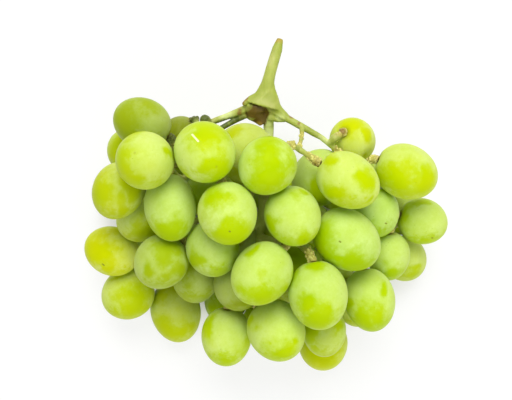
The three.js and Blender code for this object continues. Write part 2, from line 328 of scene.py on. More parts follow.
# %% [markdown]
# ## Bloom, and where it is rubbed off
#
# Bloom is the pale wax that every fresh grape grows. It is thick on the shoulders of the
# berry and missing where the berry touched its neighbours or a finger: there the skin
# shows through, clear and yellow-green. Painting that by hand on a mesh is slow, so each
# berry on top gets a row here instead. First how yellow it is, from 0 for a cool green,
# then how olive and dark it is, which is partly an older berry's own olive and partly
# painted shade on berries that lie in shadow, then its bare patches. Most patches are
# rubbed bloom, but a few are laid where a neighbour shades the berry, and there they are
# painted shade. A patch is (right, up, reach): where it is on the berry as seen from above,
# in berry radii, and how far it reaches.

# %% The look of the berries on top
LOOKS = {
    1: (0.4, 0.75, [(-0.75, 0.1, 0.6), (-0.45, -0.55, 0.5), (0.1, 0.95, 0.5)]),
    2: (0.55, 0.08, [(-0.85, 0.0, 0.7), (-0.4, -0.6, 0.5), (0.7, 0.25, 0.18), (-0.4, 0.88, 0.3)]),
    3: (0.6, 0.2, [(-0.6, 0.2, 0.7)]),
    4: (0.7, 0.3, [(-0.8, 0.1, 0.7), (0.2, -0.6, 0.3), (0.6, 0.2, 0.4)]),
    5: (0.7, 1.3, [(0.2, -0.2, 0.8), (-0.4, 0.5, 0.5)]),
    10: (0.45, 0.0, [(0.1, 0.8, 0.65), (0.45, -0.5, 0.42)]),
    11: (0.2, 0.15, [(-0.12, -0.8, 0.42), (0.9, 0.3, 0.2)]),
    12: (0.6, 0.2, [(0.3, -0.55, 0.55)]),
    13: (0.1, 0.3, [(0.0, -0.5, 0.8)]),
    14: (0.6, 0.0, [(-0.3, -0.25, 0.55), (0.6, -0.45, 0.45), (-0.85, -0.2, 0.4)]),
    15: (0.1, 0.0, [(0.4, 0.85, 0.3), (-0.7, -0.3, 0.2)]),
    16: (0.4, 0.0, [(-0.85, 0.15, 0.45), (-0.2, 0.9, 0.35), (0.2, -0.9, 0.25)]),
    17: (0.3, 0.1, [(0.2, -0.85, 0.35)]),
    18: (0.6, 0.2, [(0.2, -0.6, 0.35)]),
    19: (0.35, 0.0, [(0.3, -0.7, 0.5)]),
    24: (0.8, 0.0, [(-0.2, 0.75, 0.5), (0.5, 0.3, 0.22), (0.2, -0.9, 0.3)]),
    25: (0.3, 0.0, [(0.35, 0.15, 0.7), (0.0, 0.85, 0.5), (0.25, -0.5, 0.6)]),
    26: (0.55, 0.0, [(-0.45, -0.5, 0.42), (0.6, 0.1, 0.32), (0.75, -0.5, 0.2), (-0.5, 0.75, 0.3)]),
    27: (0.35, 0.0, [(0.1, -0.7, 0.6), (-0.5, 0.6, 0.4)]),
    28: (0.35, 0.0, [(0.4, -0.7, 0.3), (-0.75, -0.3, 0.25), (0.3, 0.85, 0.25)]),
    29: (0.3, 0.0, [(-0.1, -0.75, 0.5), (-0.2, 0.85, 0.2), (0.8, -0.4, 0.35)]),
    30: (0.3, 0.0, [(-0.5, -0.2, 0.3), (0.05, -0.7, 0.5), (-0.85, 0.5, 0.3), (0.1, 0.92, 0.25)]),
    31: (0.7, 0.35, [(-0.6, 0.6, 0.3)]),
    32: (0.3, 0.95, [(0.5, -0.6, 0.4)]),
    33: (0.4, 0.0, [(0.25, -0.65, 0.5), (-0.85, 0.2, 0.25), (0.6, -0.2, 0.25)]),
    34: (0.45, 0.0, [(-0.85, 0.25, 0.35), (-0.1, -0.92, 0.35), (0.9, -0.25, 0.4)]),
    35: (0.2, 0.1, [(0.0, -0.5, 0.6)]),
    42: (0.35, 0.55, [(0.2, 0.5, 0.45), (-0.42, -0.5, 0.33), (0.65, -0.38, 0.3), (0.95, 0.1, 0.3)]),
    43: (0.2, 0.3, [(-0.6, -0.5, 0.3), (0.85, 0.2, 0.3)]),
    44: (0.4, 0.65, [(-0.5, 0.3, 0.5), (0.3, 0.85, 0.4)]),
    45: (0.65, 0.1, [(0.3, -0.45, 0.75), (-0.3, 0.85, 0.3)]),
    46: (0.9, 0.0, [(-0.6, 0.2, 0.75), (0.2, 0.85, 0.35), (-0.35, -0.6, 0.3)]),
    47: (0.7, 0.2, [(-0.2, -0.75, 0.5), (0.5, -0.75, 0.4), (-0.5, 0.75, 0.45)]),
    51: (0.2, 0.0, [(-0.85, -0.2, 0.5), (-0.2, -0.6, 0.3), (0.4, -0.72, 0.5)]),
    52: (0.35, 0.0, [(0.5, 0.5, 0.24), (0.1, -0.7, 0.6), (-0.85, -0.2, 0.3)]),
    55: (0.5, 0.2, [(-0.7, 0.1, 0.4), (0.6, 0.3, 0.4)]),
    56: (0.75, 0.0, [(0.0, -0.3, 0.9)]),
    57: (0.1, 0.4, [(0.0, 0.0, 0.9)]),
}


# A pale streak and dark specks: from, to (right, up, as above), how pale.
MARKS = {
    10: ((-0.41, 0.58), (-0.21, 0.35), 1.0),
    15: ((0.42, -0.46), (0.46, -0.48), 0.0),
    16: ((0.39, -0.70), (0.42, -0.71), 0.0),
    27: ((0.06, -0.57), (0.08, -0.58), 0.0),
    46: ((-0.36, -0.53), (-0.31, -0.57), 0.0),
    51: ((-0.24, -0.05), (-0.21, -0.07), 0.0),
}


def seen_from_above(berry):
    """Right, up and towards the eye, at this berry."""
    towards = (EYE - Vector(berry["middle"])).normalized()
    right = (Vector((1, 0, 0)) - towards * towards.x).normalized()
    return np.array([right, towards.cross(right), towards])


def ragged(normals, dice):
    """The same directions, pushed about in waves, so that a round patch gets a ragged edge."""
    pushed = normals.copy()
    for waves, push in [(2.5, 0.16), (5.0, 0.09), (9.0, 0.05)]:
        swing = dice.normal(size=(3, 3))
        phase = dice.uniform(0, 6.28, 3)
        pushed += push * np.sin(waves * normals @ swing + phase)
    return pushed / np.linalg.norm(pushed, axis=1)[:, None]


def patch_field(normals, patches):
    """1 in the middle of a patch, 0.5 at its edge, falling further outside."""
    field = np.zeros(len(normals))
    for way, reach in patches:
        angle = np.arccos(np.clip(normals @ way, -1, 1))
        field = np.maximum(field, np.clip(1 - 0.5 * angle / reach, 0, 1))
    return field


# %% [markdown]
# The undersides get random patches of the same kind. Where a neighbour comes close, the
# skin is made bare too, whichever way it faces: partly bloom rubbed off by the neighbour,
# partly painted shade in the contact zone. One berry also carries a pale streak and a few
# carry one dark speck, each kept as a short line on the skin.

# %% Bare patches on every berry: rubbed bloom and painted shade
RUB_AND_SHADE_GAP = 1.8 * MM  # a neighbour nearer than this has rubbed the skin bare, and its shade is painted there too
NEIGHBOUR = 34 * MM  # no berry whose middle is further off can come that near
SPARE_PATCHES = 5  # random patches for the side that has no listed ones
dice = np.random.default_rng(12)


def keep(mesh, name, values):
    mesh.attributes.new(name, "FLOAT", "POINT").data.foreach_set(
        "value", np.asarray(values, np.float32)
    )


def keep_vector(mesh, name, value):
    rows = np.tile(np.asarray(value, np.float32), len(mesh.vertices))
    mesh.attributes.new(name, "FLOAT_VECTOR", "POINT").data.foreach_set("vector", rows)


def direction_of(right, up, ways):
    way = np.array([right, up, np.sqrt(max(0.02, 1 - right**2 - up**2))]) @ ways
    return way / np.linalg.norm(way)


def keep_mark(mesh, points, middle, ways, ends, pale):
    """A mark's start and the way to its end, in the berry's own millimetres."""
    own = np.empty(len(points) * 3, np.float32)
    mesh.attributes["berry_mm"].data.foreach_get("vector", own)
    to_own = np.linalg.lstsq(points - middle, own.reshape(-1, 3), rcond=None)[0]
    radii = np.linalg.norm(points - middle, axis=1)
    spots = []
    for right, up in ends:
        way = direction_of(right, up, ways)
        nearest = ((points - middle) @ way / radii).argmax()
        spots.append(way * radii[nearest] @ to_own)
    keep_vector(mesh, "mark_from", spots[0])
    keep_vector(mesh, "mark_way", spots[1] - spots[0])
    keep(mesh, "mark", np.ones(len(points)))
    keep(mesh, "pale", np.full(len(points), pale))


def gap_to(points, berry):
    """How far points are from a berry's skin, near enough."""
    offsets = points - berry["middle"]
    along = offsets @ berry["axis"]
    around = np.linalg.norm(offsets - np.outer(along, berry["axis"]), axis=1)
    share = np.hypot(along / (berry["length"] / 2), around / (berry["width"] / 2))
    return (share - 1) * berry["width"] / 2


for number, berry in enumerate(berries, start=1):
    mesh = berry["skin"].data
    points = vertex_array(mesh)
    normals = points - berry["middle"]
    normals /= np.linalg.norm(normals, axis=1)[:, None]
    yellow, olive_and_shade, listed = LOOKS.get(number, (dice.uniform(0.2, 0.7), dice.uniform(0.2, 0.6), []))
    ways = seen_from_above(berry)
    patches = []
    for right, up, reach in listed:
        patches.append((direction_of(right, up, ways), reach))
    for _ in range(SPARE_PATCHES):
        way = dice.normal(size=3)
        way /= np.linalg.norm(way)
        reach = dice.uniform(0.25, 0.6)
        if not listed or way @ ways[2] < -0.35:
            patches.append((way, reach))
    near = np.full(len(points), 1.0)
    for other in berries:
        if other is not berry and np.linalg.norm(other["middle"] - berry["middle"]) < NEIGHBOUR:
            near = np.minimum(near, gap_to(points, other))
    # Bare patches, listed and random; a few listed ones are painted shade where neighbours shade the
    # berry.
    keep(mesh, "bare", patch_field(ragged(normals, dice), patches))
    # Bare where a neighbour comes near: partly rubbed bloom, partly painted shade between berries.
    keep(mesh, "rub_and_shade", np.clip(1 - near / RUB_AND_SHADE_GAP, 0, 1))
    keep(mesh, "yellow", np.full(len(points), yellow))
    # How olive and dark: partly the berry's own age, partly painted shade on berries in shadow.
    keep(mesh, "olive_and_shade", np.full(len(points), olive_and_shade))
    # The side facing away from the main lamp, towards the bunch's tip: the bloom thins here, partly
    # wear and partly painted shade.
    keep(mesh, "tipward_unlit_side", -normals[:, 1])
    if number in MARKS:
        *ends, pale = MARKS[number]
        keep_mark(mesh, points, berry["middle"], ways, ends, pale)
print("bloom laid on", len(berries), "berries")

# %% [markdown]
# ## Grape skin
#
# A white table grape: a thin translucent skin over watery flesh. Light goes in, scatters
# a few millimetres through the flesh and comes out greener, so the berry glows softly and
# its shaded side is never black. The bare skin is smooth and saturated. The bloom over it
# is a matt wax, pale green, cloudy and finely speckled, with frayed tears. Small dark
# lenticels, the breathing pores, dot the skin, and the stylar scar at the tip is brown
# cork.

# %% Grape skin material
def ramp(tree, value, *stops):
    node = add(tree, "ShaderNodeValToRGB", {"Fac": value})
    while len(node.color_ramp.elements) < len(stops):
        node.color_ramp.elements.new(1)
    for element, (position, shade) in zip(node.color_ramp.elements, stops):
        element.position = position
        element.color = shade if isinstance(shade, tuple) else (shade, shade, shade, 1)
    return node


def blend(tree, amount, under, over):
    return add(
        tree, "ShaderNodeMix", {0: amount, 6: under, 7: over}, data_type="RGBA"
    ).outputs[2]


def paint_grape(material):
    material.use_nodes = True
    tree = material.node_tree
    tree.nodes.clear()

    def kept(name, output="Fac"):
        return add(tree, "ShaderNodeAttribute", attribute_name=name).outputs[output]

    place = kept("berry_mm", "Vector")
    seed, yellow, olive_and_shade, tipward_unlit_side = kept("seed"), kept("yellow"), kept("olive_and_shade"), kept("tipward_unlit_side")
    bare, rub_and_shade = kept("bare"), kept("rub_and_shade")

    def noise(scale, detail, shift, rough=0.5):
        own_seed = maths(tree, "ADD", seed, shift)
        return add(
            tree, "ShaderNodeTexNoise",
            {"Vector": place, "W": own_seed, "Scale": scale, "Detail": detail, "Roughness": rough},
            noise_dimensions="4D",
        ).outputs[0]

    # Bare skin: from a cool green to a sunny yellow green, then turned olive and darker, partly as an
    # older berry's own colour and partly as painted shade on berries that lie in shadow.
    sunny = maths(tree, "MULTIPLY_ADD", noise(0.09, 2, 0), 0.5, -0.25)
    sunny = maths(tree, "ADD", sunny, yellow)
    flesh = ramp(
        tree, sunny, (0.0, colour(0x9CBE00)), (0.45, colour(0xB2CA00)), (1.0, colour(0xC8CE00))
    ).outputs[0]
    flesh = blend(tree, maths(tree, "MULTIPLY", olive_and_shade, 0.75), flesh, colour(0x7E8A1C))

    # Bloom: thin on the side away from the main lamp, which is the side towards the bunch's tip;
    # partly wear there and partly painted light and shade, paler towards the lamp and darker away
    # from it. It is torn by noise and gone in the bare patches.
    lobes = add(
        tree, "ShaderNodeTexVoronoi",
        {"Vector": place, "W": seed, "Scale": 0.22, "Detail": 0.5, "Roughness": 0.5},
        voronoi_dimensions="4D", feature="F1",
    ).outputs["Distance"]
    edge = maths(tree, "MULTIPLY_ADD", noise(0.14, 3, 3, 0.5), 0.6, -0.3)
    edge = maths(tree, "ADD", edge, maths(tree, "MULTIPLY_ADD", lobes, 0.2, -0.1))
    frays = maths(tree, "MULTIPLY_ADD", noise(0.55, 2, 40, 0.6), 0.5, -0.25)
    edge = maths(tree, "ADD", edge, frays)
    low = ramp(tree, maths(tree, "ADD", tipward_unlit_side, edge), (0.25, 0.0), (0.75, 0.75)).outputs[0]
    torn = maths(tree, "ADD", maths(tree, "MAXIMUM", bare, maths(tree, "MULTIPLY", low, 0.6)), edge)
    # Near neighbours the bloom goes too: partly rubbed off, partly painted shade.
    worn = maths(tree, "MAXIMUM", torn, maths(tree, "MULTIPLY", rub_and_shade, 0.9))
    cover = ramp(tree, worn, (0.2, 1.0), (0.42, 0.55), (0.57, 0.14), (0.75, 0.0)).outputs[0]
    clouds = ramp(tree, noise(0.12, 3, 9, 0.55), (0.3, 0.5), (0.68, 1.0)).outputs[0]
    speckle = ramp(tree, noise(0.9, 3, 15, 0.7), (0.35, 0.8), (0.65, 1.0)).outputs[0]
    bloom = maths(tree, "MULTIPLY", maths(tree, "MULTIPLY", cover, clouds), speckle)
    wax = blend(tree, yellow, colour(0xC8E190), colour(0xDAE488))
    # The same number turns the wax olive and darker: partly age, partly painted shade.
    wax = blend(tree, maths(tree, "MULTIPLY", olive_and_shade, 0.7), wax, colour(0x9AA65A))
    skin_colour = blend(tree, maths(tree, "MULTIPLY", bloom, 0.75), flesh, wax)

    # Lenticels: one dark pore in each cell of about 2 mm.
    cells = add(
        tree, "ShaderNodeTexVoronoi", {"Vector": place, "Scale": 0.5, "Randomness": 1.0}
    ).outputs["Distance"]
    pore = ramp(tree, cells, (0.05, 0.6), (0.1, 0.0)).outputs[0]
    here = ramp(tree, noise(0.2, 1, 20), (0.46, 0.0), (0.6, 1.0)).outputs[0]
    skin_colour = blend(tree, maths(tree, "MULTIPLY", pore, here), skin_colour, colour(0x6C8420))

    # The corky scar at the tip and the darker ring in the dimple of the stalk.
    xyz = add(tree, "ShaderNodeSeparateXYZ", {0: place}).outputs
    round_axis = maths(
        tree, "SQRT",
        maths(tree, "MULTIPLY_ADD", xyz[0], xyz[0], maths(tree, "MULTIPLY", xyz[1], xyz[1])),
    )
    dot = ramp(tree, maths(tree, "DIVIDE", round_axis, 4.0), (0.05, 1.0), (0.17, 0.0)).outputs[0]
    cork = maths(tree, "MULTIPLY", dot, maths(tree, "GREATER_THAN", xyz[2], 0.0))
    skin_colour = blend(tree, maths(tree, "MULTIPLY", cork, 0.3), skin_colour, colour(0x84802A))
    seat = ramp(tree, maths(tree, "DIVIDE", round_axis, 6.0), (0.25, 1.0), (0.6, 0.0)).outputs[0]
    seat = maths(tree, "MULTIPLY", seat, maths(tree, "LESS_THAN", xyz[2], 0.0))
    skin_colour = blend(tree, maths(tree, "MULTIPLY", seat, 0.7), skin_colour, colour(0x9A9A20))

    # A pale streak on one berry and a dark speck on some others: how far a point is from the line of
    # the mark.
    def vectors(operation, *values, **more):
        return add(
            tree, "ShaderNodeVectorMath", {**dict(enumerate(values)), **more}, operation=operation
        )

    start, line = kept("mark_from", "Vector"), kept("mark_way", "Vector")
    offset = vectors("SUBTRACT", place, start)
    square = vectors("DOT_PRODUCT", line, line).outputs["Value"]
    along = vectors("DOT_PRODUCT", offset, line).outputs["Value"]
    along = maths(tree, "DIVIDE", along, maths(tree, "MAXIMUM", square, 0.01))
    along = add(tree, "ShaderNodeClamp", {0: along})
    nearest = vectors("SCALE", line, Scale=along)
    apart = vectors("LENGTH", vectors("SUBTRACT", offset, nearest)).outputs["Value"]
    line_share = ramp(tree, apart, (0.22, 1.0), (0.5, 0.0)).outputs[0]
    mark = maths(tree, "MULTIPLY", line_share, kept("mark"))
    mark_colour = blend(tree, kept("pale"), colour(0x7C8426), colour(0xF4F8C8))
    skin_colour = blend(tree, maths(tree, "MULTIPLY", mark, 0.85), skin_colour, mark_colour)

    rough = maths(tree, "MULTIPLY_ADD", bloom, 0.2, 0.34)
    grain = add(
        tree, "ShaderNodeBump",
        {"Height": noise(1.6, 3, 30, 0.6), "Strength": 0.06, "Distance": 0.15 * MM},
    )
    shader = add(
        tree, "ShaderNodeBsdfPrincipled",
        {
            "Base Color": skin_colour, "Roughness": rough, "IOR": 1.42,
            "Subsurface Weight": 0.5, "Subsurface Radius": (1.0, 0.95, 0.2),
            "Subsurface Scale": 4 * MM, "Specular IOR Level": 0.12, "Normal": grain,
            "Specular Tint": colour(0xE0F090),
        },
    )
    add(tree, "ShaderNodeOutputMaterial", {"Surface": shader})


paint_grape(skin)
print("material", skin.name)

# %% [markdown]
# ## The skin of the stalk
#
# The stalk grew as one piece: branches run smoothly into each other with small webs in
# the forks. The solid's faceted rods meet at sharp creases. A voxel remesh melts them
# into one surface, a few rounds of smoothing round the forks, and because smoothing
# shrinks thin rods, the surface is then pushed out again along its normals, with the
# slight lumps and ridges of a fresh stalk.

# %% Remeshing the stalk
VOXEL = 0.42 * MM
REGROW = 0.24 * MM  # what the smoothing took off
RELAX_ROUNDS = 4
LUMPS = 0.18 * MM


def merged_copy(node):
    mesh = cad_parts[node].data.copy()
    obj = bpy.data.objects.new(node + "_copy", mesh)
    scene.collection.objects.link(obj)
    weld = obj.modifiers.new("weld", "WELD")
    weld.merge_threshold = 0.002 * MM
    return obj


def make_stalk_tree():
    tree, given = open_tree(
        "stalk_lumps", Geometry="Geometry", Regrow="Float", Lumps="Float", Bark="Material"
    )
    place = add(tree, "GeometryNodeInputPosition")
    normal = add(tree, "GeometryNodeInputNormal")
    lumps = add(
        tree, "ShaderNodeTexNoise",
        {"Vector": place, "W": 4.0, "Scale": 260.0, "Detail": 3.0}, noise_dimensions="4D",
    )
    centred = maths(tree, "SUBTRACT", lumps, 0.5)
    push = maths(tree, "MULTIPLY_ADD", centred, given["Lumps"], given["Regrow"])
    offset = add(tree, "ShaderNodeVectorMath", {0: normal, "Scale": push}, operation="SCALE")
    moved = add(
        tree, "GeometryNodeSetPosition", {"Geometry": given["Geometry"], "Offset": offset}
    )
    return close_tree(tree, moved, given["Bark"])


def melt(obj):
    remesh = obj.modifiers.new("melt", "REMESH")
    remesh.mode = "VOXEL"
    remesh.voxel_size = VOXEL
    relax = obj.modifiers.new("relax", "SMOOTH")
    relax.factor = 0.6
    relax.iterations = RELAX_ROUNDS
    depsgraph = bpy.context.evaluated_depsgraph_get()
    mesh = bpy.data.meshes.new_from_object(obj.evaluated_get(depsgraph))
    bpy.data.objects.remove(obj)
    return mesh


bark = bpy.data.materials.new("fresh_grape_stalk")
stalk = grow(
    "stalk", make_stalk_tree(), mesh=melt(merged_copy("stem")),
    Regrow=REGROW, Lumps=LUMPS, Bark=bark,
)
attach(stalk, "root")
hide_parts("stem")
print(f"{len(stalk.data.polygons)} faces on the stalk")

# %% [markdown]
# ## Marks along the stalk
#
# Several things change along a grape stalk. The last centimetre before a berry is the
# pedicel: paler, more beige, rough with corky warts, and one stunted side twig is knotty
# like that all along. The forks have brown scars, and the cut end and the bare wood low in
# the hollow are straw brown. Inside the flared foot of the main stalk the tissue has died
# back and turned brown; that dark brown is partly dried tissue and partly painted shade
# under the lip of the foot. Some colours are painted light and shade: a dark green on the
# side branches that lie in shade, a middle green on the flanks of the foot and the shaded
# side of the upper stalk, and a paler green of painted light on the trunk under the foot
# and on the right branch, which on the left branch is its own paler tone. The rest goes
# from a middle green to a pale one at random. Each is a number on the surface, worked out
# from how near a point is to a berry's seat or to a listed place, and the material turns
# the numbers into colour. A listed place is (x, y, z, reach), in millimetres from the cut
# tip.

# %% Pedicels, scars, the dried hollow, and greens of painted light and shade
PEDICEL_LENGTH = 9.0 * MM
PEDICEL_REACH = 3.0 * MM  # how far from its line a pedicel's own bark goes
CUTS = [(0, 0, 0, 4), (-8.8, -36.4, -7, 3)]
# Dark brown in the hollow: partly dried tissue, partly painted shade under the lip of the foot.
DRY_AND_SHADE = [(-9, -26.5, -5, 5), (-10.5, -30.5, -5.5, 5), (-7.5, -31, -6, 5), (-8.5, -34, -7, 4.5)]
DRY_AND_SHADE += [(-9, -29.8, -3, 3.6)]
SCARS = [(-16.9, -31.5, -5, 1.8), (5.5, -33.2, -1, 1.8), (-30.5, -35, -7, 2), (8.5, -36.5, 0, 1.2)]
SCARS += [(-15.9, -27.2, -2.2, 2.6), (-13.9, -25.7, -2.2, 2), (-8.5, -36, -7, 3), (-40, -43, -7, 2.5)]
SCARS += [(-16.5, -30.3, -5.3, 1.9), (27, -39.6, -1, 2.8), (15.3, -53.8, 17, 2.8)]
# Painted shade: a dark green where the side branches lie in shade.
PAINTED_SHADE_PLACES = [(-33.5, -33.5, -6, 6.5), (-31, -43, -4, 7), (-38, -40, -8, 7), (-43.3, -47.7, -5, 7)]
PAINTED_SHADE_PLACES += [(-38.3, -33.1, -17, 8), (-46.5, -41.7, 5, 7), (-15.6, -32.9, -8, 3.3)]
PAINTED_SHADE_PLACES += [(-18, -33.5, -8, 3.3), (-20.5, -34.9, -8, 3.4), (-23.3, -36.2, -8, 4), (-26, -38.3, -7, 5)]
# A paler green: painted light on the trunk in the foot's shade and on the right branch, and the left
# branch's own paler tone.
PALE_AND_LIT = [(-5, -34.8, -7, 4), (-5, -40, -9, 5), (0.5, -34, -2, 3), (19.2, -43.9, -0.5, 4)]
PALE_AND_LIT += [(-22.5, -31.8, -6.5, 4.5)]
# Painted shade: a middle green on the flanks of the foot and the shaded side of the upper stalk.
SHADY = [(-3, -25.9, -1, 4.5), (-10.7, -23.8, -1, 4), (0.2, -29.6, -1, 4.2), (12.8, -39.2, -1, 4)]
SHADY += [(0.5, -5, 0, 6), (1.5, -10.5, 0, 4.5)]
KNOTTY = [(8.9, -42, 4, 4), (8, -46, 10, 5)]
stalk_points = vertex_array(stalk.data)
seats = np.array([b["middle"] - b["axis"] * b["length"] / 2 for b in berries])
tip = stalk_points[stalk_points[:, 1].argmax()]
print("cut end at", [round(float(v) / MM, 1) for v in tip])


def listed_field(points, rows):
    """1 at a listed place, falling to 0 at its reach."""
    field = np.zeros(len(points))
    for x, y, z, reach in rows:
        place = tip + np.array([x, y, z]) * MM
        field = np.maximum(field, 1 - np.linalg.norm(points - place, axis=1) / (reach * MM))
    return field


def pedicel_field(points):
    """1 at a seat, falling to 0 a pedicel's length back along the line of the berry."""
    field = np.zeros(len(points))
    for seat, berry in zip(seats, berries):
        offsets = points - seat
        back = offsets @ -berry["axis"]
        aside = np.linalg.norm(offsets + np.outer(back, berry["axis"]), axis=1)
        near = np.clip(1 - np.abs(back) / PEDICEL_LENGTH, 0, 1)
        field = np.maximum(field, near * np.clip(3 - 2 * aside / PEDICEL_REACH, 0, 1))
    return field


knotty = np.maximum(pedicel_field(stalk_points), listed_field(stalk_points, KNOTTY))
keep(stalk.data, "pedicel", knotty)
keep(stalk.data, "cut", listed_field(stalk_points, CUTS))
keep(stalk.data, "dry_and_painted_shade", listed_field(stalk_points, DRY_AND_SHADE))
keep(stalk.data, "scar", listed_field(stalk_points, SCARS))
keep(stalk.data, "painted_shade", listed_field(stalk_points, PAINTED_SHADE_PLACES))
keep(stalk.data, "pale_and_painted_light", listed_field(stalk_points, PALE_AND_LIT))
keep(stalk.data, "painted_half_shade", listed_field(stalk_points, SHADY))
stay_inside(stalk.data)

# %% [markdown]
# ## Receptacles
#
# Where a pedicel meets its berry it flares into the receptacle, a small knobby disc with
# a brown rim. There is one per berry, so a tree puts the same disc, a pressed ball, on every
# seat, turned to the berry's axis, and roughens it with noise so that no two match.

# %% Receptacle discs
def make_receptacle_tree():
    tree, given = open_tree(
        "receptacles", Geometry="Geometry", Roughen="Float", Bark="Material"
    )
    ball = add(tree, "GeometryNodeMeshUVSphere", {"Segments": 18, "Rings": 12, "Radius": 1.0})
    xyz = add(tree, "ShaderNodeSeparateXYZ", {0: add(tree, "GeometryNodeInputPosition")}).outputs
    # A ball pressed to a thick disc, drawn in towards the pedicel side.
    drawn = maths(tree, "MULTIPLY_ADD", xyz["Z"], 0.35, 1.0)
    shape = add(
        tree, "ShaderNodeCombineXYZ",
        {
            "X": maths(tree, "MULTIPLY", xyz["X"], drawn),
            "Y": maths(tree, "MULTIPLY", xyz["Y"], drawn),
            "Z": maths(tree, "MULTIPLY", xyz["Z"], 0.62),
        },
    )
    disc = add(tree, "GeometryNodeSetPosition", {"Geometry": ball, "Position": shape})
    rim = add(
        tree, "GeometryNodeStoreNamedAttribute",
        {"Geometry": disc, "Name": "rim", "Value": xyz["Z"]}, data_type="FLOAT", domain="POINT",
    )
    axis = add(
        tree, "GeometryNodeInputNamedAttribute", {"Name": "axis"}, data_type="FLOAT_VECTOR"
    )
    size = add(tree, "GeometryNodeInputNamedAttribute", {"Name": "size"}, data_type="FLOAT")
    turn = add(tree, "FunctionNodeAlignRotationToVector", {"Vector": axis}, axis="Z")
    put = add(
        tree, "GeometryNodeInstanceOnPoints",
        {"Points": given["Geometry"], "Instance": rim, "Rotation": turn, "Scale": size},
    )
    real = add(tree, "GeometryNodeRealizeInstances", {"Geometry": put})
    lumps = add(
        tree, "ShaderNodeTexNoise",
        {"Vector": add(tree, "GeometryNodeInputPosition"), "Scale": 900.0, "Detail": 2.0},
    )
    push = maths(tree, "MULTIPLY", maths(tree, "SUBTRACT", lumps, 0.5), given["Roughen"])
    offset = add(
        tree, "ShaderNodeVectorMath",
        {0: add(tree, "GeometryNodeInputNormal"), "Scale": push}, operation="SCALE",
    )
    rough = add(tree, "GeometryNodeSetPosition", {"Geometry": real, "Offset": offset})
    return close_tree(tree, rough, given["Bark"])


def points_mesh(name, places, axes, sizes):
    mesh = bpy.data.meshes.new(name)
    mesh.from_pydata([tuple(p) for p in places], [], [])
    mesh.attributes.new("axis", "FLOAT_VECTOR", "POINT").data.foreach_set(
        "vector", np.asarray(axes, np.float32).ravel()
    )
    keep(mesh, "size", sizes)
    return mesh


RECEPTACLE_RADIUS = 1.6 * MM
SET_BACK = 0.35 * MM  # from the seat towards the pedicel
seat_axes = np.array([berry["axis"] for berry in berries])
collar = bpy.data.materials.new("corky_receptacle")
receptacles = grow(
    "receptacles", make_receptacle_tree(),
    mesh=points_mesh(
        "seats", seats - seat_axes * SET_BACK, seat_axes,
        dice.uniform(0.9, 1.1, len(berries)) * RECEPTACLE_RADIUS,
    ),
    Roughen=1.1 * MM, Bark=collar,
)
# The receptacles take the same painted shade and scars as the stalk near them.
for name, places in [("painted_shade", PAINTED_SHADE_PLACES), ("scar", SCARS)]:
    keep(receptacles.data, name, listed_field(vertex_array(receptacles.data), places))
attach(receptacles, "root")
print(f"{len(receptacles.data.polygons)} faces on the receptacles")

# %% [markdown]
# ## Warts
#
# The pedicels are peppered with corky warts, which are breathing pores grown thick. They
# follow the surface and repeat hundreds of times, so a tree scatters them, thickly on the
# pedicels and hardly at all on the branches, each a low-sided bead half sunk in the bark.

# %% Scattering the warts
def make_wart_tree():
    tree, given = open_tree(
        "warts", Geometry="Geometry", Density="Float", Radius="Float",
        Seed="Int", Bark="Material",
    )
    pedicel = add(
        tree, "GeometryNodeInputNamedAttribute", {"Name": "pedicel"}, data_type="FLOAT"
    )
    share = maths(tree, "MULTIPLY", pedicel, pedicel)
    scatter = add(
        tree, "GeometryNodeDistributePointsOnFaces",
        {
            "Mesh": given["Geometry"], "Density": maths(tree, "MULTIPLY", share, given["Density"]),
            "Seed": given["Seed"],
        },
        distribute_method="RANDOM",
    )
    bead = add(tree, "GeometryNodeMeshUVSphere", {"Segments": 7, "Rings": 5, "Radius": 1.0})
    size = add(
        tree, "FunctionNodeRandomValue",
        {2: 0.5, 3: 1.2, "Seed": given["Seed"]}, data_type="FLOAT",
    ).outputs[1]
    radius = maths(tree, "MULTIPLY", size, given["Radius"])
    flat = add(tree, "ShaderNodeCombineXYZ", {0: 1.0, 1: 1.0, 2: 0.75})
    scale = add(tree, "ShaderNodeVectorMath", {0: flat, "Scale": radius}, operation="SCALE")
    put = add(
        tree, "GeometryNodeInstanceOnPoints",
        {
            "Points": scatter.outputs["Points"], "Instance": bead,
            "Rotation": scatter.outputs["Rotation"], "Scale": scale,
        },
    )
    return close_tree(tree, put, given["Bark"])


wart_cork = bpy.data.materials.new("wart_cork")
warts = grow(
    "warts", make_wart_tree(), mesh=stalk.data.copy(),
    Density=1_200_000.0, Radius=0.62 * MM, Seed=5, Bark=wart_cork,
)
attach(warts, "root")
print(f"{len(warts.data.polygons)} faces on the warts")

# %% [markdown]
# ## Stalk materials
#
# A fresh rachis is a green herb, not wood: satin, juicy, finely streaked, slightly
# translucent. Towards the berries it turns pale and beige, and its cork is light brown.

